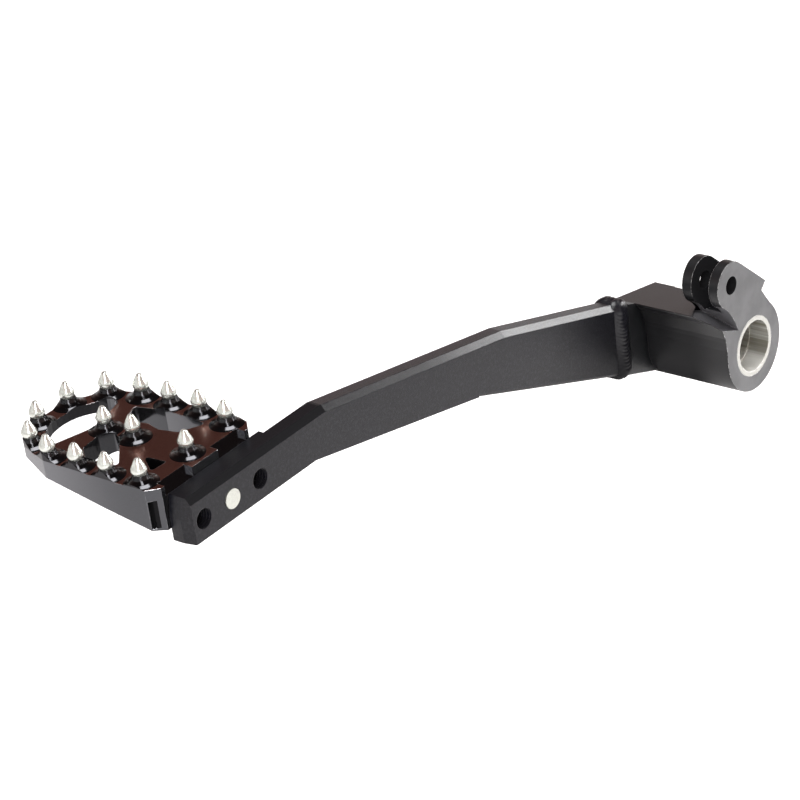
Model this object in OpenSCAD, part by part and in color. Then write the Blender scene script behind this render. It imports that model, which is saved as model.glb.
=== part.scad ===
// Rear brake pedal: a plate arm welded to a pivot hub, with an adjustable spiked tip.
// The origin is on the pivot axis at the hub's inboard face. X runs along the arm with
// the tip at -X, Y runs outboard and Z is up.

/* [Hub] */
// Radius of the hub around the pivot axis
hub_r = 15.2; // [13.5:0.1:17]
// Length of the hub along the pivot axis
hub_l = 39; // [37:0.5:42]
// Depth of the inboard bush
bush_l = 7; // [4:0.5:10]
// Outer diameter of both bushes
bush_od = 20.2; // [19:0.1:22]
// Inner diameter of the inboard bush
bush_id = 17; // [15.5:0.1:17.8]
// Inner diameter of the long bush, the pivot bore
bore_d = 16; // [14:0.1:16.4]
// Height of the flat top of the knuckle above the pivot axis
knuckle_top = 14; // [12.5:0.5:15]
// Distance of the knuckle's front edge from the pivot axis
knuckle_reach = 23.5; // [21:0.5:25]
// Height of the shoulder line above the pivot axis
shoulder_z = 5.6; // [4:0.1:7]

/* [Clevis] */
// Distance of the clevis hole from the pivot axis, towards the tip
clevis_x = 15.1; // [14:0.1:17]
// Height of the clevis hole above the pivot axis
clevis_z = 24; // [23:0.1:26]
// Diameter of the clevis hole
clevis_d = 6; // [5:0.1:8]
// Outer radius of the clevis ears
ear_r = 7.8; // [7:0.1:8.5]
// Thickness of each clevis ear
ear_t = 3.5; // [2.5:0.1:4.5]
// Width of the slot between the ears
slot_w = 6.5; // [5:0.1:8]

/* [Arm] */
// Thickness of the arm plate
arm_t = 8; // [6:0.5:8]
// Top of the arm at its rear bend
arm_top = 22.1; // [19:0.1:23]
// Distance of the rear bend from the pivot axis
rear_bend = 93; // [85:1:105]
// Height of the arm at its rear bend
rear_bend_h = 17.6; // [15:0.1:20]
// Distance of the front bend from the pivot axis
front_bend = 180; // [172:1:184]
// Height of the arm at the weld
weld_h = 25; // [20:0.5:26]
// Slope of the top edge down to the weld, in degrees
rear_slope = 5.9; // [4:0.1:8]
// Bevel on the long edges of the arm
arm_bevel = 1.8; // [0.8:0.1:2.4]
// Distance of the weld seam from the pivot axis
weld_x = 29.5; // [27:0.5:34]
// How far the weld bead stands proud of the plate
bead_h = 1.2; // [0.6:0.1:2]
// Radius of the weld bead's section
bead_r = 3.6; // [2.5:0.1:5]

/* [Tip mount] */
// Distance of the tip screw from the pivot axis, along X
screw_x = 218.4; // [214:0.5:222]
// Height of the tip screw above the pivot axis
screw_z = 5.7; // [4:0.1:8]
// Slope of the front stretch and of the tip, in degrees
tip_slope = 11.3; // [9:0.1:13]
// Distance between the tip holes
hole_pitch = 12; // [9:0.5:14]
// Diameter of the tapped tip holes
hole_d = 6; // [5:0.1:7]
// Arm plate above the screw axis
mount_up = 8; // [7:0.1:9]
// Arm plate below the screw axis
mount_down = 6.3; // [6:0.1:8]
// Arm plate in front of the screw axis
nose_l = 17.1; // [15.5:0.1:20]

/* [Tip] */
// Length of the tip, from the arm to the outermost spikes
tip_l = 58; // [54:0.5:62]
// Distance of the side spikes from the tip's middle line
side_w = 19.6; // [18.5:0.1:21]
// Height of the ring's top above the screw axis
ring_top = 10.9; // [10:0.1:12]
// Height of the spike posts above the ring
post_h = 2.6; // [1.5:0.1:3.5]
// Radius of a spike post at its top
post_r = 2.2; // [2:0.1:2.6]
// Depth of the tip below the screw axis at the arm
tip_drop = 2.4; // [2:0.1:5]
// Rise of the tip's underside away from the arm, in degrees
under_slope = 10.7; // [8:0.1:12]
// Diameter of the tip screw's head
head_d = 10; // [8:0.1:11]
// Height of the tip screw's head
head_h = 5; // [3:0.1:6]
// Thickness of the tip's base under the screw head
base_t = 5; // [4:0.1:7]

/* [Spikes] */
// Height of a spike above its post
spike_h = 5; // [4:0.1:6.5]
// Radius of a spike at its rim
spike_r = 2.5; // [2.2:0.1:2.8]
// Height of a spike's rim above its post
rim_h = 1.5; // [0.8:0.1:1.8]
// Radius of a spike's point
point_r = 0.25; // [0.2:0.05:0.6]
// Diameter of the shank that holds a spike
shank_d = 2.4; // [1.8:0.1:3]
// Length of that shank
shank_l = 3.5; // [2:0.5:5]

/* [Hidden] */
$fn = 64;
eps = 0.01;
far = 80;
fit = 0.05;
screw_fit = 0.3;
screw_out = 0.3;
socket_w = 5;
shank_gap = 0.4;
arm_y = hub_l - arm_t;

// Arm bends, from the level middle stretch and the slopes at its two ends
top_rise = 0.4;
front_foot = front_bend + 2.4;
rear_foot = rear_bend + 12.7;
run = tan(tip_slope);
mount_top = screw_z + mount_up / cos(tip_slope);
mount_bottom = screw_z - mount_down / cos(tip_slope);
front_top_x = -screw_x + (arm_top - top_rise - mount_top) / run;
weld_lean = 4.5;
weld_top_z = arm_top - (rear_bend - weld_x) * tan(rear_slope);
weld_foot_z = weld_top_z - weld_h;
mount_seat = [-screw_x, screw_z];
nose_foot = mount_seat + turn([-nose_l, -mount_down]);
nose_top = mount_seat + turn([-nose_l, mount_up]);
bend_foot = [-front_foot, mount_bottom + run * (screw_x - front_foot)];
arm_pts = [
    nose_foot, nose_top,
    [front_top_x, arm_top - top_rise], [-rear_bend, arm_top],
    [-weld_x - weld_lean / 2, weld_top_z], [-weld_x + weld_lean / 2, weld_foot_z],
    [-rear_foot, arm_top - rear_bend_h], bend_foot
];

// The nose's upper facet starts this high and its inboard facet this far from the outboard face
nose_n = 1.3;
nose_y = 4;
nose_tilt = 9.2;
nose_turn = 11.3;

// Outline of the hub's face: fall of the ear's top, the stop at its end and the neck below
ear_fall = 31;
ear_foot = 233;
stop_x = 5.2;
stop_hook = [2.1, 2.9];
stop_foot = 56;
neck_c = [-37.3, -8.5];
neck_r = 32;
neck_from = 30;
neck_to = 50;
shoulder_rise = 12;
ramp_rise = 20.8;

// Spike places on the tip, along the arm and away from it
spikes = [
    [-0.82 * side_w, 0.888 * tip_l], [-0.32 * side_w, tip_l],
    [0.32 * side_w, tip_l], [0.82 * side_w, 0.888 * tip_l],
    [side_w, 0.709 * tip_l], [side_w, 0.521 * tip_l], [side_w, 0.322 * tip_l],
    [0.923 * side_w, 0.129 * tip_l], [0, 0.11 * tip_l], [-0.923 * side_w, 0.129 * tip_l],
    [-side_w, 0.322 * tip_l], [-side_w, 0.521 * tip_l], [-side_w, 0.709 * tip_l],
    [0, 0.647 * tip_l], [0, 0.457 * tip_l]
];
rim_order = [10, 11, 12, 0, 1, 2, 3, 4, 5, 6];

// Corner facets of the tip, with a groove in each, and the wall around the posts
cheek = 3.2;
corner_w = side_w + 2;
seat_w = 2 * (corner_w - cheek);
groove_w = 1.4;
groove_t = 3.5;
groove_top = 7.3;
groove_foot = -1.3;
groove_in = 1;
lip = 0.15;

// Round boss under the tip's base, around the screw
boss_r = 6.2;

// Bevels on the top edge at the arm, between the posts
pocket = 3;
pocket_w = 11.5;
pocket_x = 0.57 * side_w;

// Side view of a post's flare, outward and down from its top, for a post this high
flare_h = 2.6;
flare = [[0, 0], [0.5, -1.1], [1.4, -1.9], [2.4, -2.4], [3, -flare_h]];

// Width and length that the openings are drawn for
plan_w = 19.6;
plan_l = 58;
outer_c = [0, 35.8];
outer_r = 19.3;

// A point of the tip's side view turned by the slope of the front stretch
function turn(p) = [
    p[0] * cos(tip_slope) - p[1] * sin(tip_slope),
    p[0] * sin(tip_slope) + p[1] * cos(tip_slope)
];

// Points along an arc of a given centre and radius
function arc(c, r, a0, a1, n = 10) = [
    for (i = [0:n]) c + r * [cos(a0 + (a1 - a0) * i / n), sin(a0 + (a1 - a0) * i / n)]
];

// Unit vector from p to q, and that vector turned a quarter to the left
function along(p, q) = (q - p) / norm(q - p);
function left(d) = [-d[1], d[0]];

// The corner b of the path a, b, c rounded with a radius r
function corner(a, b, c, r, n = 6) =
    let (u = along(b, a), w = along(b, c), half = acos(u * w) / 2,
         m = (u + w) / norm(u + w), centre = b + m * r / sin(half),
         p = b + u * r / tan(half), q = b + w * r / tan(half),
         pa = atan2(p[1] - centre[1], p[0] - centre[0]),
         qa = atan2(q[1] - centre[1], q[0] - centre[0]),
         sweep = (qa - pa + 540) % 360 - 180)
    [for (i = [0:n]) centre + r * [cos(pa + sweep * i / n), sin(pa + sweep * i / n)]];

// A closed outline with every corner rounded
function rounded(pts, r) = [
    for (i = [0:len(pts) - 1])
        each corner(pts[(i + len(pts) - 1) % len(pts)], pts[i], pts[(i + 1) % len(pts)], r)
];

// A side view extruded outboard from y over a thickness t
module side(y, t) {
    translate([0, y + t, 0]) rotate([90, 0, 0]) linear_extrude(t) children();
}

// A plain cylinder along Y
module rod(x, z, y, l, r) {
    translate([x, y, z]) rotate([-90, 0, 0]) cylinder(h = l, r = r);
}

// The frame of the tip: its origin is on the screw axis at the arm's outboard face
module at_tip() {
    translate([-screw_x, hub_l, screw_z]) rotate([0, -tip_slope, 0]) children();
}

// A bevel cut along the edge from p to q at depth y
module edge_cut(p, q, y, size) {
    d = along(p, q);
    translate([p[0], y, p[1]]) rotate([0, -atan2(d[1], d[0]), 0]) rotate([45, 0, 0])
        translate([-eps, -size / sqrt(2), -size / sqrt(2)])
            cube([norm(q - p) + 2 * eps, size * sqrt(2), size * sqrt(2)]);
}

module arm_blank() {
    top = [[nose_top, arm_pts[2]], [arm_pts[2], arm_pts[3]], [arm_pts[3], arm_pts[4]]];
    difference() {
        side(arm_y, arm_t) polygon(arm_pts);
        for (e = top) edge_cut(e[0], e[1], arm_y, arm_bevel);
        for (e = [top[1], top[2]]) edge_cut(e[0], e[1], hub_l, arm_bevel);
        edge_cut(mount_seat + turn([seat_w / 2 + 4, mount_up]), arm_pts[2], hub_l, arm_bevel);
        for (y = [arm_y, hub_l]) edge_cut(arm_pts[6], arm_pts[5], y, arm_bevel / 2);
    }
}

// Facets at the arm's end, in the frame of the tip
module nose_cuts() {
    translate([-nose_l, 0, nose_n]) rotate([0, nose_tilt, 0])
        translate([-far, -far, 0]) cube([far, 2 * far, far]);
    translate([-nose_l, -nose_y, 0]) rotate([0, 0, nose_turn])
        translate([-far, -far, -far]) cube([far, far, 2 * far]);
}

module arm() {
    color("#3a3a3e") difference() {
        arm_blank();
        at_tip() nose_cuts();
        for (i = [-1:1]) {
            at = mount_seat + turn([i * hole_pitch, 0]);
            rod(at[0], at[1], arm_y - 1, arm_t + 2, hole_d / 2);
        }
    }
}

// Side view of the hub's face: the round hub, the ear and the stop above the bore
module hub_face() {
    ear = [-clevis_x, clevis_z];
    top = ear + ear_r * [sin(ear_fall), cos(ear_fall)];
    stop_tip = [stop_x, top[1] - (stop_x - top[0]) * tan(ear_fall)];
    circle(hub_r);
    translate(ear) circle(ear_r);
    polygon(concat(
        [ear, top, stop_tip, stop_tip - stop_hook, hub_r * [cos(stop_foot), sin(stop_foot)],
         [0, 0]],
        arc(neck_c, neck_r, neck_from, neck_to, 8),
        [ear + ear_r * [cos(ear_foot), sin(ear_foot)]]
    ));
}

// The front flank of the knuckle, from the round hub up to its top edge
flank_foot = 192;
flank = [
    hub_r * [cos(flank_foot), sin(flank_foot)], [-hub_r - 0.6, 2], [-hub_r - 2, 6.5],
    [-hub_r - 4.6, 11], [-knuckle_reach, knuckle_top]
];

// Where the knuckle's flat top ends, and a point on the slope behind it
top_end = -0.5;
back_slope = [12, 8];

// Side view of the knuckle
module knuckle_side() {
    intersection() {
        union() {
            circle(hub_r);
            polygon(concat(flank, [[0, knuckle_top], [0, 0]]));
        }
        polygon([[-far, -far], [-far, knuckle_top], [top_end, knuckle_top], back_slope, [far, 0],
                 [far, -far]]);
    }
}

// Space in front of the neck, down to a ramp that rises from the shoulder line
module notch(t) {
    foot = [-clevis_x, clevis_z] + ear_r * [cos(ear_foot), sin(ear_foot)];
    intersection() {
        side(-1, t + 1) polygon(concat(
            arc(neck_c, neck_r, neck_from, neck_to, 8), [foot, [-far, clevis_z], [-far, 0]]
        ));
        translate([0, 0, shoulder_z]) rotate([ramp_rise, shoulder_rise, 0])
            translate([-far, -far, 0]) cube([2 * far, 2 * far, far]);
    }
}

// The stretch in line with the arm, which carries the weld
stub_foot = 235;
module stub_side() {
    polygon([
        arm_pts[4], [-knuckle_reach, knuckle_top], [0, knuckle_top], [0, 0],
        hub_r * [cos(stub_foot), sin(stub_foot)], arm_pts[5]
    ]);
}

module pivot_hub() {
    pair = 2 * ear_t + slot_w;
    color("#55555a") difference() {
        union() {
            side(0, pair) hub_face();
            side(0, hub_l) knuckle_side();
            side(arm_y, arm_t) stub_side();
        }
        notch(pair);
        // Slot between the ears
        translate([-far, ear_t, knuckle_top]) cube([2 * far, slot_w, far]);
        // Bores
        rod(0, 0, -1, hub_l + 2, bush_od / 2);
        rod(-clevis_x, clevis_z, -1, pair + 2, clevis_d / 2);
    }
}

module weld_bead() {
    top = arm_pts[4];
    foot = arm_pts[5];
    inset = bead_r - bead_h;
    lean = atan2(foot[0] - top[0], top[1] - foot[1]);
    color("#2e2e31") difference() {
        union() {
            for (y = [arm_y + inset, hub_l - inset])
                translate([foot[0], y, foot[1] + inset]) rotate([0, -lean, 0])
                    cylinder(h = norm(top - foot) - 2 * inset, r = bead_r);
            for (p = [top - [0, inset], foot + [0, inset]])
                rod(p[0], p[1], arm_y + inset, arm_t - 2 * inset, bead_r);
            for (p = [top - [0, inset], foot + [0, inset]], y = [arm_y + inset, hub_l - inset])
                translate([p[0], y, p[1]]) sphere(bead_r);
        }
        arm_blank();
        side(arm_y, arm_t) stub_side();
        side(0, hub_l) knuckle_side();
    }
}

module inboard_bush() {
    color("#d8d8d4") difference() {
        rod(0, 0, 0, bush_l, bush_od / 2);
        rod(0, 0, -1, bush_l + 2, bush_id / 2);
    }
}

module long_bush() {
    color("#cfcfca") difference() {
        rod(0, 0, bush_l, hub_l - bush_l, bush_od / 2);
        rod(0, 0, bush_l - 1, hub_l - bush_l + 2, bore_d / 2);
    }
}

// Plan of the whole tip: chamfered corners at the arm and a round outboard end
module tip_plan() {
    n = len(rim_order);
    pts = [for (k = rim_order) spikes[k]];
    wall = post_r + lip;
    turns = [for (i = [0:n - 2]) let (d = left(along(pts[i], pts[i + 1]))) atan2(d[1], d[0])];
    start = concat([180], [for (a = turns) a]);
    end = concat([for (a = turns) a], [0]);
    edge = [for (i = [0:n - 1])
        each arc(pts[i], wall, (start[i] + 360) % 360, (end[i] + 360) % 360, 4)];
    polygon(concat([[-seat_w / 2, 0], [-corner_w, cheek]], edge,
                   [[corner_w, cheek], [seat_w / 2, 0]]));
}

// Openings through the ring
module openings() {
    rim = arc(outer_c, outer_r, 46, 134, 12);
    outer = concat(
        rim, corner(rim[12], [-15.4, 47], [-6, 41], 2.5), [[0, 41.5]],
        corner([6, 40], [15.4, 47], rim[0], 2.5)
    );
    front = [[-4.5, 37], [-0.6, 33.1], [-3, 29.5], [-14.4, 19.5], [-15.2, 31.5], [-11, 36.3]];
    rear = [[6.5, 36], [13.8, 39.3], [16.2, 29.5], [15.4, 13], [8, 17], [6.6, 23.5], [8, 28.5]];
    small = [[-6.3, 8.6], [-12.4, 9.1], [-7, 16.8]];
    scale([side_w / plan_w, tip_l / plan_l]) {
        polygon(outer);
        for (o = [front, rear]) polygon(rounded(o, 1));
        polygon(rounded(small, 0.7));
    }
}

// The tip's body, with the posts on top, before the holes are made
module tip_body() {
    difference() {
        intersection() {
            translate([0, 0, -far]) linear_extrude(2 * far) tip_plan();
            union() {
                translate([-far, 0, -far]) cube([2 * far, far, far + ring_top]);
                for (p = spikes) translate([p[0], p[1], ring_top + post_h])
                    rotate_extrude() polygon(concat(
                        [[0, 0]], [for (f = flare) [post_r + f[0], f[1] * post_h / flare_h]],
                        [[post_r + 3, -post_h - 1], [0, -post_h - 1]]
                    ));
            }
        }
        for (s = [-1, 1]) translate([s * pocket_x, 0, ring_top]) rotate([45, 0, 0])
            cube([pocket_w, pocket * sqrt(2), pocket * sqrt(2)], center = true);
        // Underside
        translate([-far, 0, -tip_drop]) rotate([under_slope, 0, 0])
            translate([0, -far, -2 * far]) cube([2 * far, 3 * far, 2 * far]);
        translate([0, 0, -far]) linear_extrude(2 * far) openings();
    }
}

module tip_platform() {
    color("#17171a") at_tip() difference() {
        union() {
            tip_body();
            rotate([-90, 0, 0]) cylinder(h = base_t, r = boss_r);
        }
        // Screw hole and head seat
        rotate([-90, 0, 0]) translate([0, 0, -1])
            cylinder(h = base_t + 2, r = hole_d / 2 + screw_fit);
        rotate([-90, 0, 0]) translate([0, 0, base_t])
            cylinder(h = 0.6 * tip_l, r = head_d / 2 + screw_fit);
        // Holes for the spikes
        for (p = spikes) translate([p[0], p[1], ring_top + post_h - shank_l - shank_gap])
            cylinder(h = shank_l + 1, r = shank_d / 2 + fit);
        // Grooves in the corner facets
        for (s = [-1, 1])
            translate([s * (corner_w - groove_in / sqrt(2)), cheek - groove_in / sqrt(2), groove_foot])
                rotate([0, 0, s * 45]) translate([-groove_w / 2, -groove_t, 0])
                    cube([groove_w, 2 * groove_t, groove_top - groove_foot]);
    }
}

module tip_screw() {
    color("#c9c9c6") at_tip() rotate([-90, 0, 0]) difference() {
        union() {
            translate([0, 0, -arm_t - screw_out])
                cylinder(h = arm_t + base_t + 1, r = hole_d / 2 - fit);
            translate([0, 0, base_t]) cylinder(h = head_h, r = head_d / 2);
        }
        translate([0, 0, base_t + head_h / 2])
            cylinder(h = head_h, r = socket_w / sqrt(3), $fn = 6);
    }
}

module spike(i) {
    p = spikes[i];
    belly = [spike_r - 0.45, rim_h + 0.95];
    color("#dcdcd8") at_tip() translate([p[0], p[1], ring_top + post_h])
        rotate_extrude() polygon([
            [0, -shank_l], [shank_d / 2, -shank_l], [shank_d / 2, 0], [spike_r - 0.6, 0],
            [spike_r, rim_h], belly, [point_r, spike_h], [0, spike_h]
        ]);
}

arm();
pivot_hub();
weld_bead();
inboard_bush();
long_bush();
tip_platform();
tip_screw();
spike(0);  // spike_01
spike(1);  // spike_02
spike(2);  // spike_03
spike(3);  // spike_04
spike(4);  // spike_05
spike(5);  // spike_06
spike(6);  // spike_07
spike(7);  // spike_08
spike(8);  // spike_09
spike(9);  // spike_10
spike(10);  // spike_11
spike(11);  // spike_12
spike(12);  // spike_13
spike(13);  // spike_14
spike(14);  // spike_15
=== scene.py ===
import math

import bpy
from mathutils import Matrix, Vector


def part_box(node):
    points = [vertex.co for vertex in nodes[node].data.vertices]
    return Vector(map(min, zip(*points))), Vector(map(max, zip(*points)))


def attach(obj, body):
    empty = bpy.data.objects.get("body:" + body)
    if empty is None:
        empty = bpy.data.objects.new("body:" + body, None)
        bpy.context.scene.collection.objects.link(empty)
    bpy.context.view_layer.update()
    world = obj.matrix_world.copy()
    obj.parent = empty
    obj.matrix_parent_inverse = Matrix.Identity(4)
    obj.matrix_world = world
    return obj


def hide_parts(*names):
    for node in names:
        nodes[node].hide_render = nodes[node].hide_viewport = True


mm = 0.001  # sizes are written in millimetres, the scene is in metres
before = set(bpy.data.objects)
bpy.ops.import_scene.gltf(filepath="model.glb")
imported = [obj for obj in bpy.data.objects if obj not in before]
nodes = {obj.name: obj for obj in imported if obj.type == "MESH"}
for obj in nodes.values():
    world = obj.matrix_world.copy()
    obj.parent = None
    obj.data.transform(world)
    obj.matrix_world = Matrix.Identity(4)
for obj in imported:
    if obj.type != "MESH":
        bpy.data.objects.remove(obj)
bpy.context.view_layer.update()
print("frame loaded")


# A socket of a node tree, with Python's operators as Math nodes
class Wire:
    def __init__(self, tree, socket):
        self.tree = tree
        self.socket = socket

    def maths(self, kind, *values, clamp=False):
        settings = {"operation": kind, "use_clamp": clamp}
        return self.tree.add("ShaderNodeMath", settings, dict(enumerate(values)))

    def __add__(self, other):
        return self.maths("ADD", self, other)

    def __radd__(self, other):
        return self.maths("ADD", other, self)

    def __sub__(self, other):
        return self.maths("SUBTRACT", self, other)

    def __rsub__(self, other):
        return self.maths("SUBTRACT", other, self)

    def __mul__(self, other):
        return self.maths("MULTIPLY", self, other)

    def __rmul__(self, other):
        return self.maths("MULTIPLY", other, self)

    def __truediv__(self, other):
        return self.maths("DIVIDE", self, other)

    def __rtruediv__(self, other):
        return self.maths("DIVIDE", other, self)

    def __neg__(self):
        return self.maths("MULTIPLY", self, -1.0)

    def __pow__(self, other):
        return self.maths("POWER", self, other)

    def __abs__(self):
        return self.maths("ABSOLUTE", self)

    def __lt__(self, other):
        return self.maths("LESS_THAN", self, other)

    def __gt__(self, other):
        return self.maths("GREATER_THAN", self, other)

    def sin(self):
        return self.maths("SINE", self)

    def cos(self):
        return self.maths("COSINE", self)

    def clamped(self):
        return self.maths("ADD", self, 0.0, clamp=True)

    # 1 between low and high, 0 outside
    def within(self, low, high):
        return (self > low) * (self < high)

    # 0 below low, 1 above high and smooth between
    def step(self, low, high):
        return self.tree.add("ShaderNodeMapRange", {"interpolation_type": "SMOOTHSTEP"},
                             {"Value": self, "From Min": low, "From Max": high})


# A node tree that is filled through one method
class Tree:
    def __init__(self, tree):
        self.tree = tree

    def pick(self, sockets, key):
        if isinstance(key, int):
            return sockets[key]
        return next(s for s in sockets if s.name == key and s.enabled)

    # Gives the first output, or a dictionary of the outputs named in out
    def add(self, kind, settings=None, inputs=None, out=None):
        made = self.tree.nodes.new(kind)
        for name, value in (settings or {}).items():
            setattr(made, name, value)
        for key, value in (inputs or {}).items():
            socket = self.pick(made.inputs, key)
            for one in value if isinstance(value, list) else [value]:
                if isinstance(one, Wire):
                    self.tree.links.new(one.socket, socket)
                else:
                    socket.default_value = one
        if out is None:
            shown = [s for s in made.outputs if s.enabled]
            return Wire(self, shown[0]) if shown else None
        return {name: Wire(self, self.pick(made.outputs, name)) for name in out}

    def mix(self, share, a, b):
        return self.add("ShaderNodeMix", {"data_type": "RGBA"}, {"Factor": share, "A": a, "B": b})

    def noise(self, place, scale, detail=2.0, rough=0.5):
        return self.add("ShaderNodeTexNoise", {}, {
            "Vector": place, "Scale": scale, "Detail": detail, "Roughness": rough})

    def join(self, x=0.0, y=0.0, z=0.0):
        return self.add("ShaderNodeCombineXYZ", {}, {0: x, 1: y, 2: z})

    def split(self, vector):
        parts = self.add("ShaderNodeSeparateXYZ", {}, {0: vector}, out=["X", "Y", "Z"])
        return parts["X"], parts["Y"], parts["Z"]

    def stretch(self, place, scale):
        return self.add("ShaderNodeVectorMath", {"operation": "MULTIPLY"}, {0: place, 1: scale})


def rgb(r, g, b):
    return (r, g, b, 1.0)


raySamples = 8  # for rounded edges and for air
# the colour of painted shade
paintedShadeBlack = rgb(0.012, 0.012, 0.013)


# A material around one Principled BSDF; place is the object's own coordinates in millimetres
class Paint(Tree):
    def __init__(self, name):
        self.material = bpy.data.materials.new(name)
        self.material.use_nodes = True
        super().__init__(self.material.node_tree)
        self.tree.nodes.clear()
        own = self.add("ShaderNodeTexCoord", out=["Object"])["Object"]
        self.place = self.stretch(own, (1 / mm, 1 / mm, 1 / mm))
        self.x, self.y, self.z = self.split(self.place)
        self.face = self.add("ShaderNodeNewGeometry", out=["Normal"])["Normal"]
        self.faceX, self.faceY, self.faceZ = self.split(self.face)

    # span is the value where share is 0 and what is added where it is 1
    def vary(self, span, share):
        return span[0] + span[1] * share

    # Distance from the point x, z in the side view
    def around(self, x, z):
        return ((self.x - x) * (self.x - x) + (self.z - z) * (self.z - z)) ** 0.5

    def bump(self, height, strength, distance, normal=None):
        inputs = {"Height": height, "Strength": strength, "Distance": distance * mm}
        if normal is not None:
            inputs["Normal"] = normal
        return self.add("ShaderNodeBump", {}, inputs)

    # The direction that the face would have if sharp edges were rounded
    def rounded(self, radius):
        return self.add("ShaderNodeBevel", {"samples": raySamples}, {"Radius": radius * mm})

    # 1 along the sharp edges of a piece, 0 on its flat faces
    def edges(self, radius, low, high):
        near = self.add("ShaderNodeVectorMath", {"operation": "DOT_PRODUCT"},
                        {0: self.rounded(radius), 1: self.face}, out=["Value"])["Value"]
        return (1.0 - near).step(low, high)

    # 1 on open faces and on outer edges, near 0 in narrow slots and inner corners
    def airy(self, reach):
        return self.add("ShaderNodeAmbientOcclusion", {"samples": raySamples},
                        {"Distance": reach * mm}, out=["AO"])["AO"]

    # painted shade: where this share is 1, a matt black shader takes over
    def finish(self, paintedShade=None, **inputs):
        named = {key.replace("_", " "): value for key, value in inputs.items()}
        surface = self.add("ShaderNodeBsdfPrincipled", {}, named)
        if paintedShade is not None:
            matt = self.add("ShaderNodeBsdfDiffuse", {}, {"Color": paintedShadeBlack})
            surface = self.add("ShaderNodeMixShader", {}, {0: paintedShade, 1: surface, 2: matt})
        self.add("ShaderNodeOutputMaterial", {}, {"Surface": surface})
        return self.material


# The arm: black paint with a fine grain. In each look
# a noise is its scale, detail and roughness,
# "edge" is how far wear reaches from an edge and the range of angles that count as one,
# "bump" is strength and height, "rough" is the least roughness and what the noise adds
armLook = {
    "grain": (3.2, 3.0, 0.6), "cloud": (0.08, 3.0, 0.5),
    "specks": (1.2, 2.0, 0.7), "wear": (0.9, 4.0, 0.7),
    "edge": (0.3, 0.02, 0.12), "bump": (0.7, 0.06), "round": 0.3, "rough": (0.25, 0.08), "gloss": 0.29,
    "dark": rgb(0.002, 0.002, 0.004), "light": rgb(0.004, 0.004, 0.0075),
    "speck": rgb(0.012, 0.012, 0.016), "bare": rgb(0.3, 0.3, 0.31),
    "frontEnd": -178.0,  # the stretch with the tip's holes ends here
    "middle": (-135.0, -100.0),  # the painted shade on the upper bevel fades out between these
    "weldFade": (-80.0, -28.0),  # painted shade darkens the side towards the weld
    "weldHeight": (-4.0, 16.0),
}


def blackSteel():
    p = Paint("black_steel")
    look = armLook
    grain = p.noise(p.place, *look["grain"])
    cloud = p.noise(p.place, *look["cloud"])
    upper, lower, inboard = p.faceZ > 0.3, p.faceZ < -0.3, p.faceY < -0.3
    # painted shade on the top of the front stretch: fewer light specks and a share of matt black
    frontTopShade = upper * (p.x < look["frontEnd"])
    specks = p.noise(p.place, *look["specks"]).step(0.46, 0.68) * (1.0 - frontTopShade)
    wear = p.noise(p.place, *look["wear"]).step(0.5, 0.68)
    worn = 0.3 * p.edges(*look["edge"]) * wear * p.airy(2.0).step(0.7, 0.9)
    base = p.mix(cloud, look["dark"], look["light"])
    base = p.mix(specks, base, look["speck"])
    base = p.mix(worn, base, look["bare"])
    # painted shade on the upper bevel towards the tip, on the lower bevel and on the side towards the weld
    upperBevelShade = upper * inboard * (1.0 - p.x.step(*look["middle"]))
    lowerBevelShade = lower * inboard
    weldSideShade = p.x.step(*look["weldFade"]) * (p.faceY < -0.9)
    weldSideShade = weldSideShade * (1.0 - p.z.step(*look["weldHeight"]) * 0.5)
    return p.finish(
        paintedShade=(weldSideShade * 0.6 + upperBevelShade * 0.5 + frontTopShade * 0.5 + lowerBevelShade * 0.6).clamped(),
        Base_Color=base, Metallic=worn * 0.8,
        Roughness=p.vary(look["rough"], grain), Specular_IOR_Level=look["gloss"],
        Normal=p.bump(grain, *look["bump"], p.rounded(look["round"])))


# The hub: black paint and a machined inboard face, with painted shade in corners, slot, underside and flank
# and painted light in the notch
hubLook = {
    "grain": (3.0, 3.0, 0.6), "cloud": (0.12, 3.0, 0.5), "wear": (0.8, 4.0, 0.7),
    "edge": (0.4, 0.02, 0.12), "bump": (0.4, 0.06), "round": 0.35, "rough": (0.3, 0.08), "gloss": 0.4,
    "dark": rgb(0.006, 0.0065, 0.0075), "light": rgb(0.012, 0.0125, 0.014),
    # corner is the colour of painted shade in inner corners; bare is worn metal, partly a painted edge
    # highlight
    "corner": rgb(0.003, 0.003, 0.004), "bare": rgb(0.5, 0.5, 0.5),
    "machinedDark": rgb(0.128, 0.13, 0.134), "machinedLight": rgb(0.162, 0.165, 0.169),
    # the colours of painted light in the notch under the inboard ear
    "notchLightSteep": rgb(0.13, 0.13, 0.14), "notchLightFlat": rgb(0.055, 0.055, 0.06),
    "machinedTo": 0.15,  # the inboard face is at y = 0
    "clevis": (-15.1, 24.0), "clevisHole": 3.4, "clevisRing": 4.5,
    "neck": (-37.3, -8.5), "neckRadius": 32.0,  # the arc under the inboard ear
    "neckFoot": 4.5, "neckTop": 17.5, "rampDeep": 12.0,
    "slotWall": (9.0, 11.0), "slotFloor": 13.9,
    "earFoot": 17.0, "rimDeep": 1.0,  # the paint is worn, with painted edge highlights, above this, and round the face to this depth
    # where painted shade darkens the underside and the flank
    "underTop": 5.0, "flankTop": 13.0, "flankFade": (1.0, 15.0),
}


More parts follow.
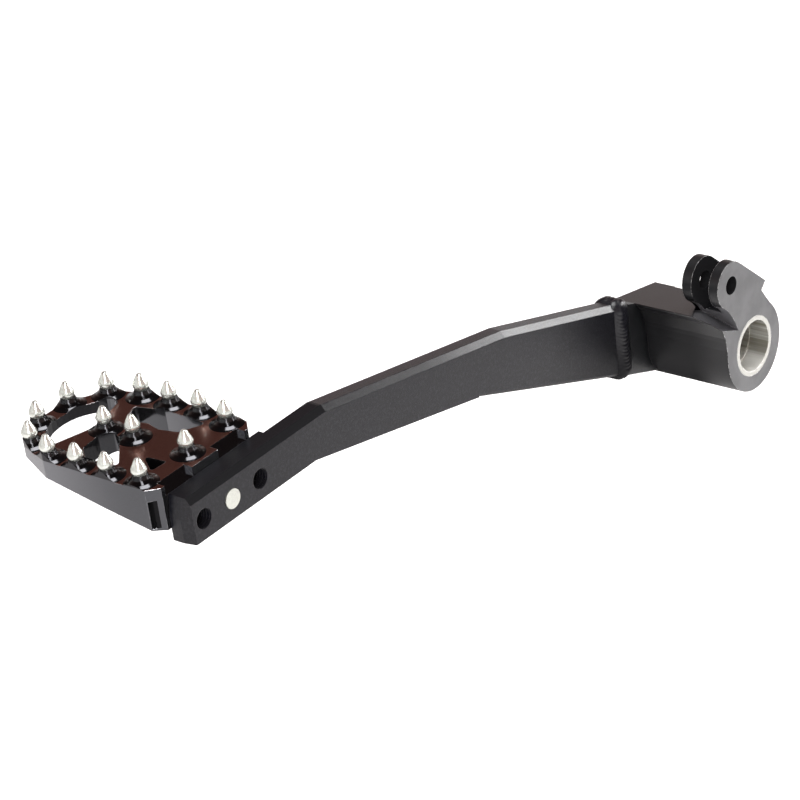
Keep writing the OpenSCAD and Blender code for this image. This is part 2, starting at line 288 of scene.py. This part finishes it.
def hubSteel():
    p = Paint("hub_steel")
    look = hubLook
    grain = p.noise(p.place, *look["grain"])
    cloud = p.noise(p.place, *look["cloud"])
    inboard = p.faceY < -0.9
    machined = (p.y < look["machinedTo"]) * inboard
    air = p.airy(7.0)
    eye = p.around(*look["clevis"])
    rim = ((p.z > look["earFoot"]) + (p.y < look["rimDeep"])) * (eye > look["clevisRing"])
    # worn edges: wear, and partly painted edge highlights on the ear rims and round the face
    wear = p.noise(p.place, *look["wear"]).step(0.4, 0.62)
    worn = p.edges(*look["edge"]) * wear * air.step(0.62, 0.8) * rim.clamped()
    # painted shade in the slot between the ears and inside the clevis hole
    slotShade = inboard * p.y.within(*look["slotWall"]) * (p.z > look["slotFloor"])
    slotShade = slotShade + (eye < look["clevisHole"])
    # painted shade under the hub and on its flank, growing away from the inboard face
    under = (-p.faceZ).step(0.0, 0.8) * (p.z < look["underTop"])
    flankShade = p.y.step(*look["flankFade"]) * (p.faceX < -0.3) * (p.z < look["flankTop"])
    # painted light in the notch under the inboard ear: lighter on its steep faces than on its flat ones, and
    # kept out of the painted shade
    neck = p.around(*look["neck"])
    notchLight = p.faceZ.step(0.4, 0.6) * (p.z < look["slotFloor"]) * (neck < look["neckRadius"])
    arc = (abs(neck - look["neckRadius"]) < 0.7) * (p.z < look["neckTop"]) * (abs(p.faceY) < 0.3)
    notchLight = (notchLight + arc) * (p.z > look["neckFoot"]) * (p.y < look["rampDeep"])
    # painted shade in inner corners and slots, from the ambient occlusion; its metallic share also turns
    # reflections off
    corner = ((1.0 - air.step(0.3, 0.75)) * (1.0 - notchLight)).clamped()
    base = p.mix(cloud, look["dark"], look["light"])
    base = p.mix(corner, base, look["corner"])
    base = p.mix(notchLight, base, p.mix(p.faceZ.step(0.0, 0.4), look["notchLightSteep"], look["notchLightFlat"]))
    metal = p.mix(cloud.step(0.35, 0.65), look["machinedDark"], look["machinedLight"])
    base = p.mix(machined, base, metal)
    base = p.mix(worn, base, look["bare"])
    return p.finish(
        paintedShade=(slotShade + (under * 0.35 + flankShade * 0.6) * (1.0 - notchLight)).clamped() * (1.0 - machined),
        Base_Color=base, Metallic=(machined * 0.55 + worn * 0.8 + corner).clamped(),
        Roughness=p.vary(look["rough"], grain), Specular_IOR_Level=look["gloss"],
        Normal=p.bump(grain, *look["bump"], p.rounded(look["round"])))


# The weld: black paint, with painted shade that darkens it towards the foot of the seam
weldLook = {
    "grain": (2.2, 3.0, 0.6), "bump": (0.4, 0.08), "rough": (0.28, 0.1), "gloss": 0.4,
    "paint": rgb(0.006, 0.006, 0.009), "fade": (-10.0, 7.0),
}


def weldSteel():
    p = Paint("weld")
    look = weldLook
    grain = p.noise(p.place, *look["grain"])
    return p.finish(
        paintedShade=(-p.z).step(*look["fade"]) * 0.75, Base_Color=look["paint"], Metallic=0.0,
        Roughness=p.vary(look["rough"], grain), Specular_IOR_Level=look["gloss"],
        Normal=p.bump(grain, *look["bump"]))


# The tip's own frame: its origin is on the screw axis at the arm's outboard face
tipSlope = math.radians(11.3)
tipUp = Vector((-math.sin(tipSlope), 0, math.cos(tipSlope)))
tipAlong = Vector((math.cos(tipSlope), 0, math.sin(tipSlope)))
screwAt = Vector((-218.4, 39.0, 5.7))

# The tip: gloss black, with a painted brown reflection on its flat top, and painted shade on its posts,
# slopes, corners, opening and slot
tipLook = {
    "grain": (5.0, 2.0, 0.6), "turned": (2.0, 3.0, 0.6), "turnedScale": (0.4, 0.4, 4.0),
    "wear": (0.4, 3.0, 0.6), "edge": (0.25, 0.03, 0.14), "bump": (0.1, 0.02), "round": 0.25,
    "rough": (0.1, 0.04), "flatRough": 0.16, "metallic": 0.95, "coat": 0.2,
    "dark": rgb(0.07, 0.072, 0.079), "light": rgb(0.088, 0.09, 0.098),
    # the outboard tone is painted light on the wall, the brown of the flat top a painted reflection, the
    # darkest tones painted shade in the opening, on the posts and slopes and in corners, and bare is worn
    # metal, partly painted edge highlights
    "outboard": rgb(0.24, 0.244, 0.26), "flatTopReflection": rgb(0.15, 0.06, 0.045),
    "openingShade": rgb(0.004, 0.004, 0.005), "posts": rgb(0.03, 0.03, 0.033),
    "corner": rgb(0.02, 0.02, 0.022), "bare": rgb(0.75, 0.75, 0.78),
    "fade": (45.0, 103.0),  # painted light: the wall turns lighter away from the arm
    "ringTop": 10.9 + 0.15,  # everything above is a post
    # where the painted shade in the outboard opening begins
    "openingFade": (58.0, 68.0), "openingFrom": -14.0,
    # painted shade over the slot in the corner facet, wider than the slot: its middle, width, height and
    # where it ends
    "grooveAt": 62.4, "grooveWide": (-1.9, 0.75), "grooveHigh": (-1.3, 7.3),
    "grooveAlong": -17.0, "grooveOut": 45.0,
}


def blackAnodised():
    p = Paint("black_anodised")
    look = tipLook
    grain = p.noise(p.place, *look["grain"])
    turned = p.noise(p.stretch(p.place, look["turnedScale"]), *look["turned"])
    tilt = p.faceX * tipUp.x + p.faceZ * tipUp.z
    high = (p.x - screwAt.x) * tipUp.x + (p.z - screwAt.z) * tipUp.z
    along = (p.x - screwAt.x) * tipAlong.x + (p.z - screwAt.z) * tipAlong.z
    flat = tilt > 0.99
    wall = abs(tilt) < 0.12
    # painted shade: the walls of the outboard opening are darkest on its outboard side
    turn = ((-p.faceY).step(0.45, 0.9) * 0.6 + 0.35) * (p.faceY < -0.05)
    openingShade = turn * (0.1 + 0.9 * p.y.step(*look["openingFade"])) * wall * (along > look["openingFrom"])
    # painted shade over the slot in the corner facet, wider than the slot itself
    grooveShade = (p.y - along - look["grooveAt"]) * math.sqrt(0.5)
    grooveShade = grooveShade.within(*look["grooveWide"]) * high.within(*look["grooveHigh"])
    grooveShade = grooveShade * (along < look["grooveAlong"]) * (p.y < look["grooveOut"])
    # painted shade on the posts and on the slopes between the flat top and the walls
    posts = (tilt.within(0.12, 0.99) + (high > look["ringTop"])).clamped()
    # painted shade in inner corners, from the ambient occlusion
    air = p.airy(6.0)
    corner = (1.0 - air.step(0.15, 0.6)) * 0.7
    # worn edges: wear, and partly painted edge highlights along the openings
    wear = p.noise(p.place, *look["wear"]).step(0.42, 0.55)
    worn = p.edges(*look["edge"]) * wear * air.step(0.55, 0.8) * 0.8 * (high < look["ringTop"])
    # the lighter outboard wall is painted light and the brown flat top a painted reflection
    base = p.mix(turned, look["dark"], look["light"])
    base = p.mix(p.y.step(*look["fade"]), base, look["outboard"])
    base = p.mix(flat, base, look["flatTopReflection"])
    base = p.mix(openingShade, base, look["openingShade"])
    base = p.mix(posts, base, look["posts"])
    base = p.mix(corner, base, look["corner"])
    base = p.mix(worn, base, look["bare"])
    return p.finish(
        paintedShade=(grooveShade + openingShade * 0.6).clamped(),
        Base_Color=base, Metallic=look["metallic"], Coat_Weight=look["coat"],
        Roughness=p.vary(look["rough"], grain) + look["flatRough"] * flat,
        Normal=p.bump(grain, *look["bump"], p.rounded(look["round"])))


# The spikes and the screw: bright turned steel, the screw a little darker
brightLook = {
    "turned": (1.5, 3.0, 0.6), "turnedScale": (0.2, 0.2, 6.0),
    "grain": (4.0, 2.0, 0.6), "blotch": (1.3, 3.0, 0.7),
    "bump": (0.35, 0.04), "rough": (0.17, 0.08), "metallic": 0.75,
    "spike": (rgb(0.74, 0.77, 0.71), rgb(0.9, 0.92, 0.87)),
    "screw": (rgb(0.5, 0.51, 0.46), rgb(0.74, 0.75, 0.69)),
    "stain": rgb(0.35, 0.37, 0.33),
}


def brightSteel(name, tones):
    p = Paint(name)
    look = brightLook
    turned = p.noise(p.stretch(p.place, look["turnedScale"]), *look["turned"])
    grain = p.noise(p.place, *look["grain"])
    blotch = p.noise(p.place, *look["blotch"]).step(0.35, 0.65)
    base = p.mix(turned, *tones)
    base = p.mix(blotch, p.mix(0.25, base, look["stain"]), base)
    return p.finish(
        Base_Color=base, Metallic=look["metallic"], Roughness=p.vary(look["rough"], turned),
        Normal=p.bump(grain * 0.5 + turned * 0.5, *look["bump"]))


# The bushes: bright turned rings, with dark streaks in the upper bore and painted light along the bottom of
# the bore
bushLook = {
    "rings": (5.0, 3.0, 0.6), "streaks": (0.35, 3.0, 0.7), "streakDraw": 0.02,
    "bump": (0.06, 0.02), "round": 0.3, "rough": (0.2, 0.08), "metallic": 0.5,
    "dark": rgb(0.46, 0.46, 0.43), "light": rgb(0.6, 0.6, 0.56),
    "boreFloorLight": rgb(0.97, 0.97, 0.93), "streak": rgb(0.26, 0.25, 0.21),
    "bore": 8.65, "sillFade": (3.0, 8.0), "streakFade": (3.0, 7.0),
}


def bushSteel():
    p = Paint("bush_steel")
    look = bushLook
    fromAxis = (p.x * p.x + p.z * p.z) ** 0.5
    rings = p.noise(p.join(fromAxis, p.y), *look["rings"])
    drawn = p.join(p.x, p.z, p.y * look["streakDraw"])
    streaks = p.noise(drawn, *look["streaks"]).step(0.4, 0.6)
    bore = fromAxis < look["bore"]
    base = p.mix(rings, look["dark"], look["light"])
    # painted light along the bottom of the bore
    base = p.mix(bore * (-p.z).step(*look["sillFade"]), base, look["boreFloorLight"])
    upper = 1.0 - (-p.z).step(*look["streakFade"])
    base = p.mix(bore * upper * streaks, base, look["streak"])
    return p.finish(
        Base_Color=base, Metallic=look["metallic"], Roughness=p.vary(look["rough"], rings),
        Normal=p.bump(rings, *look["bump"], p.rounded(look["round"])))


def dress(node, material):
    nodes[node].data.materials.clear()
    nodes[node].data.materials.append(material)
    for polygon in nodes[node].data.polygons:
        polygon.material_index = 0


paints = {
    "arm": blackSteel(), "pivot_hub": hubSteel(), "weld_bead": weldSteel(),
    "inboard_bush": bushSteel(), "tip_platform": blackAnodised(),
    "tip_screw": brightSteel("screw_steel", brightLook["screw"]),
}
paints["long_bush"] = paints["inboard_bush"]
spikePaint = brightSteel("bright_steel", brightLook["spike"])
spikeNames = sorted(n for n in nodes if n.startswith("spike_"))
for name in nodes:
    dress(name, spikePaint if name in spikeNames else paints[name])
print("materials made")


# A Geometry Nodes tree with named sizes in millimetres, run once on an object and kept as a plain mesh
class Grower(Tree):
    def __init__(self, name, sizes, start):
        self.group = bpy.data.node_groups.new(name, "GeometryNodeTree")
        super().__init__(self.group)
        self.group.interface.new_socket("Geometry", in_out="INPUT", socket_type="NodeSocketGeometry")
        self.group.interface.new_socket("Geometry", in_out="OUTPUT", socket_type="NodeSocketGeometry")
        for key in sizes:
            self.group.interface.new_socket(key, in_out="INPUT", socket_type="NodeSocketFloat")
        given = self.add("NodeGroupInput", out=["Geometry", *sizes])
        self.geometry = given["Geometry"]
        self.size = {key: given[key] for key in sizes}
        self.name = name
        self.sizes = sizes
        self.start = start

    # Radius and height along a profile, turned round Z as a closed skin
    def lathe(self, radius, height, rows, sides):
        sheet = self.add("GeometryNodeMeshGrid", {}, {
            "Size X": 1.0, "Size Y": 1.0, "Vertices X": rows, "Vertices Y": sides}, out=["Mesh"])["Mesh"]
        x, y, _ = self.split(self.add("GeometryNodeInputPosition"))
        t = x + 0.5
        angle = (0.5 - y) * (2 * math.pi)  # clockwise, so that the faces point outwards
        r = radius(t)
        spot = self.join(r * angle.cos(), r * angle.sin(), height(t))
        skin = self.add("GeometryNodeSetPosition", {}, {"Geometry": sheet, "Position": spot})
        return self.add("GeometryNodeMergeByDistance", {}, {"Geometry": skin, "Distance": 0.001})

    def curve(self, t, points):
        made = self.tree.nodes.new("ShaderNodeFloatCurve")
        line = made.mapping.curves[0]
        line.points[0].location, line.points[1].location = points[0], points[-1]
        for x, y in points[1:-1]:
            line.points.new(x, y)
        for point in line.points:
            point.handle_type = "AUTO_CLAMPED"
        made.mapping.update()
        self.tree.links.new(t.socket, made.inputs["Value"])
        return Wire(self, made.outputs[0])

    def grow(self, geometry, material):
        real = self.add("GeometryNodeRealizeInstances", {}, {"Geometry": geometry})
        smooth = self.add("GeometryNodeSetShadeSmooth", {}, {"Geometry": real})
        painted = self.add("GeometryNodeSetMaterial", {}, {"Geometry": smooth, "Material": material})
        self.add("NodeGroupOutput", {}, {"Geometry": painted})
        mesh = bpy.data.meshes.new(self.name)
        mesh.from_pydata(self.start, [], [])
        seed = bpy.data.objects.new(self.name, mesh)
        bpy.context.scene.collection.objects.link(seed)
        modifier = seed.modifiers.new("grow", "NODES")
        modifier.node_group = self.group
        for item in self.group.interface.items_tree:
            if item.in_out == "INPUT" and item.name in self.sizes:
                modifier[item.identifier] = float(self.sizes[item.name])
        bpy.context.view_layer.update()
        graph = bpy.context.evaluated_depsgraph_get()
        done = bpy.data.meshes.new_from_object(seed.evaluated_get(graph))
        seed.modifiers.clear()
        seed.data = done
        return seed


# The bright spikes: round cones on the posts
spikeSizes = {"rim": 2.35, "tall": 5.0, "sink": 0.3}
spikeFaces = {"rows": 60, "sides": 48}
spikeProfile = [  # share of the height, share of the rim's radius
    (0, 0), (0.012, 0.68), (0.08, 0.76), (0.2, 0.93), (0.32, 1.0), (0.42, 0.95), (0.55, 0.82),
    (0.68, 0.67), (0.8, 0.53), (0.9, 0.4), (0.96, 0.3), (0.985, 0.2), (1, 0),
]


# The seat centre of a spike, from the highest vertices of its CAD node
def seatOf(name):
    far = max((v.co for v in nodes[name].data.vertices), key=lambda c: c.dot(tipUp))
    low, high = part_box(name)
    middle = (low + high) / 2
    return middle + tipUp * ((far - middle).dot(tipUp) - spikeSizes["tall"] * mm)


def makeSpikes():
    g = Grower("spikes", spikeSizes, [seatOf(n) for n in spikeNames])
    cone = g.lathe(
        lambda t: g.size["rim"] * g.curve(t, spikeProfile),
        lambda t: (g.size["tall"] + g.size["sink"]) * t - g.size["sink"],
        spikeFaces["rows"], spikeFaces["sides"])
    small = g.add("GeometryNodeTransform", {}, {"Geometry": cone, "Scale": (mm, mm, mm)})
    placed = g.add("GeometryNodeInstanceOnPoints", {}, {
        "Points": g.add("GeometryNodeMeshToPoints", {}, {"Mesh": g.geometry}),
        "Instance": small, "Rotation": (0.0, -tipSlope, 0.0)})
    return g.grow(placed, spikePaint)


spikesPiece = makeSpikes()
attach(spikesPiece, "root")
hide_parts(*spikeNames)
print("spikes made")

# The weld round the arm: a rippled bead along the closed seam
weldSizes = {
    "across": 7.4, "deep": 3.8, "plate": 8.0,
    "sunk": 0.6,  # how far the bead's middle lies inside the plate's faces
    "corner": 1.6, "pitch": 1.3, "ripple": 0.13,
    "bow": 0.16, "wander": 1.6, "drift": 1.1,  # what makes the ripples uneven
    "grain": 0.12,  # length of one step along the seam
}
weldRing = 40
weldTop = Vector((-31.75, 35, 15.54))
weldFoot = Vector((-27.25, 35, -9.46))


def makeWeld():
    g = Grower("weldBead", weldSizes, [(0, 0, 0)])
    line = weldTop - weldFoot
    path = g.add("GeometryNodeCurvePrimitiveQuadrilateral", {"mode": "RECTANGLE"}, {
        "Width": g.size["plate"] - 2 * g.size["sunk"], "Height": line.length - 2 * g.size["sunk"]})
    path = g.add("GeometryNodeFilletCurve", {"mode": "POLY"}, {
        "Curve": path, "Radius": g.size["corner"], "Count": 8})
    path = g.add("GeometryNodeResampleCurve", {"mode": "LENGTH"}, {"Curve": path, "Length": g.size["grain"]})
    along = g.add("GeometryNodeSplineParameter", out=["Length"])["Length"]
    kept = g.add("GeometryNodeStoreNamedAttribute", {"data_type": "FLOAT", "domain": "POINT"}, {
        "Geometry": path, "Name": "along", "Value": along})
    ring = g.add("GeometryNodeCurvePrimitiveCircle", {"mode": "RADIUS"}, {
        "Resolution": weldRing, "Radius": 1.0})
    ring = g.add("GeometryNodeTransform", {}, {
        "Geometry": ring, "Scale": g.join(g.size["deep"] / 2, g.size["across"] / 2, 1.0)})
    skin = g.add("GeometryNodeCurveToMesh", {}, {"Curve": kept, "Profile Curve": ring, "Fill Caps": False})
    length = g.add("GeometryNodeInputNamedAttribute", {"data_type": "FLOAT"}, {"Name": "along"},
                   out=["Attribute"])["Attribute"]
    place = g.add("GeometryNodeInputPosition")
    _, _, side = g.split(place)
    wander = g.noise(place, 0.22, 2.0) * g.size["wander"]
    phase = (length + g.size["bow"] * side * side + wander) * math.pi / g.size["pitch"]
    crest = abs(phase.sin()) * g.size["ripple"]
    drift = (g.noise(place, 0.18, 3.0) - 0.5) * g.size["drift"]
    push = g.add("ShaderNodeVectorMath", {"operation": "SCALE"}, {
        0: g.add("GeometryNodeInputNormal"), "Scale": crest + drift})
    rippled = g.add("GeometryNodeSetPosition", {}, {"Geometry": skin, "Offset": push})
    # local X runs along Y, local Y along the seam and local Z across it
    outboard, seam = Vector((0, 1, 0)), line.normalized()
    axes = Matrix((outboard, seam, outboard.cross(seam))).transposed()
    turned = g.add("GeometryNodeTransform", {}, {
        "Geometry": rippled, "Rotation": tuple(axes.to_euler()), "Scale": (mm, mm, mm),
        "Translation": tuple((weldTop + weldFoot) / 2 * mm)})
    return g.grow(turned, paints["weld_bead"])


weldPiece = makeWeld()
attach(weldPiece, "root")
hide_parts("weld_bead")
print("weld made")

# Thread ridges inside the two open tapped holes of the arm
threadSizes = {"hole": 3.0, "pitch": 1.0, "ridge": 0.17, "deep": 8.0, "setBack": 0.3}
threadFaces = {"round": 48, "ridge": 6}
holePitch = 12.0


def makeThreads():
    spots = [(screwAt + tipAlong * (side * holePitch)) * mm for side in (-1, 1)]
    g = Grower("threads", threadSizes, spots)
    tall = g.size["deep"] - 2 * g.size["setBack"]
    path = g.add("GeometryNodeCurveSpiral", {}, {
        "Resolution": threadFaces["round"], "Rotations": tall / g.size["pitch"],
        "Start Radius": g.size["hole"], "End Radius": g.size["hole"], "Height": tall})
    ring = g.add("GeometryNodeCurvePrimitiveCircle", {"mode": "RADIUS"}, {
        "Resolution": threadFaces["ridge"], "Radius": g.size["ridge"]})
    thread = g.add("GeometryNodeCurveToMesh", {}, {"Curve": path, "Profile Curve": ring, "Fill Caps": True})
    small = g.add("GeometryNodeTransform", {}, {
        "Geometry": thread, "Scale": (mm, mm, mm), "Rotation": (math.pi / 2, 0.0, 0.0),
        "Translation": g.join(0.0, g.size["setBack"] * -mm, 0.0)})
    placed = g.add("GeometryNodeInstanceOnPoints", {}, {
        "Points": g.add("GeometryNodeMeshToPoints", {}, {"Mesh": g.geometry}), "Instance": small})
    return g.grow(placed, paints["arm"])


threadPiece = makeThreads()
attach(threadPiece, "root")
print("threads made")

# Floor, lights and surroundings, in metres and watts
stageSizes = {"floorZ": -0.12, "floorHalf": 8.0}
stageLook = {
    "floor": rgb(0.9, 0.9, 0.9), "rough": 0.9,
    "noGlow": rgb(0.0, 0.0, 0.0), "glow": rgb(0.45, 0.45, 0.45),  # the glow is for the camera alone
}
tipAim = (-0.218, 0.01, 0.01)
lights = {
    "keyLight": {
        "at": (0.505, -0.142, 0.364), "aim": (-0.08, 0.03, 0.02), "size": (0.22, 0.22), "watts": 2.9},
    "stripLight": {"at": (-1.05, -0.59, 0.8), "aim": tipAim, "size": (0.28, 1.2), "watts": 14.0},
    "sideLight": {"at": (0.51, -0.77, 0.555), "aim": tipAim, "size": (0.1, 0.45), "watts": 2.4},
    "topLight": {"at": (-0.15, 0.1, 2.6), "aim": (-0.15, 0.1, 0.0), "size": (1.05, 1.05), "watts": 47.0},
}
horizon = rgb(0.9, 0.9, 0.9)
skyBands = [  # the height where a band fades in, from and to, and its colour
    ((0.1, 0.32), rgb(0.5, 0.36, 0.33)),
    ((0.33, 0.58), rgb(0.11, 0.06, 0.05)),
    ((0.6, 0.85), rgb(0.06, 0.04, 0.04)),
]


def makeFloor():
    half, z = stageSizes["floorHalf"], stageSizes["floorZ"]
    mesh = bpy.data.meshes.new("floor")
    corners = [(-half, -half, z), (half, -half, z), (half, half, z), (-half, half, z)]
    mesh.from_pydata(corners, [], [(0, 1, 2, 3)])
    made = bpy.data.objects.new("floor", mesh)
    bpy.context.scene.collection.objects.link(made)
    p = Paint("floor_white")
    seen = p.add("ShaderNodeLightPath", out=["Is Camera Ray"])["Is Camera Ray"]
    mesh.materials.append(p.finish(
        Base_Color=stageLook["floor"], Roughness=stageLook["rough"], Emission_Strength=1.0,
        Emission_Color=p.mix(seen, stageLook["noGlow"], stageLook["glow"])))
    return made


def makeLight(name, at, aim, size, watts):
    lamp = bpy.data.lights.new(name, "AREA")
    lamp.shape = "RECTANGLE"
    lamp.size, lamp.size_y = size
    lamp.energy = watts
    made = bpy.data.objects.new(name, lamp)
    bpy.context.scene.collection.objects.link(made)
    made.location = at
    made.rotation_mode = "QUATERNION"
    made.rotation_quaternion = (Vector(aim) - Vector(at)).to_track_quat("-Z", "Y")
    return made


# The metal reflects a sky that darkens upwards; the camera sees it white
def makeWorld():
    world = bpy.data.worlds.new("studio")
    bpy.context.scene.world = world
    world.use_nodes = True
    w = Tree(world.node_tree)
    w.tree.nodes.clear()
    _, _, up = w.split(w.add("ShaderNodeTexCoord", out=["Generated"])["Generated"])
    sky = horizon
    for fade, colour in skyBands:
        sky = w.mix(up.step(*fade), sky, colour)
    seen = w.add("ShaderNodeLightPath", out=["Is Camera Ray"])["Is Camera Ray"]
    shown = w.mix(seen, sky, rgb(1.0, 1.0, 1.0))
    glow = w.add("ShaderNodeBackground", {}, {"Color": shown, "Strength": 1.0})
    w.add("ShaderNodeOutputWorld", {}, {"Surface": glow})


lamps = [makeLight(name, **values) for name, values in lights.items()]
makeFloor()
makeWorld()
print("stage made")

# The photo's camera: angles in degrees, the lens in millimetres, the rest in metres
cameraSizes = {
    "azimuth": -51.39, "elevation": 19.32, "lens": 141.23, "sensor": 36.0,
    "at": (-0.82197, -0.51025, 0.3183), "near": 0.05, "far": 50.0,
}


def makeCamera():
    az, el = math.radians(cameraSizes["azimuth"]), math.radians(cameraSizes["elevation"])
    right = Vector((math.cos(az), math.sin(az), 0))
    back = Vector((math.sin(az) * math.cos(el), -math.cos(az) * math.cos(el), math.sin(el)))
    turned = Matrix((right, back.cross(right), back)).transposed().to_4x4()
    data = bpy.data.cameras.new("camera")
    data.lens = cameraSizes["lens"]
    data.sensor_width = cameraSizes["sensor"]
    data.clip_start, data.clip_end = cameraSizes["near"], cameraSizes["far"]
    camera = bpy.data.objects.new("camera", data)
    bpy.context.scene.collection.objects.link(camera)
    camera.matrix_world = Matrix.Translation(cameraSizes["at"]) @ turned
    bpy.context.scene.camera = camera
    bpy.context.scene.view_settings.view_transform = "Standard"


makeCamera()
print("camera made")

bpy.context.view_layer.update()
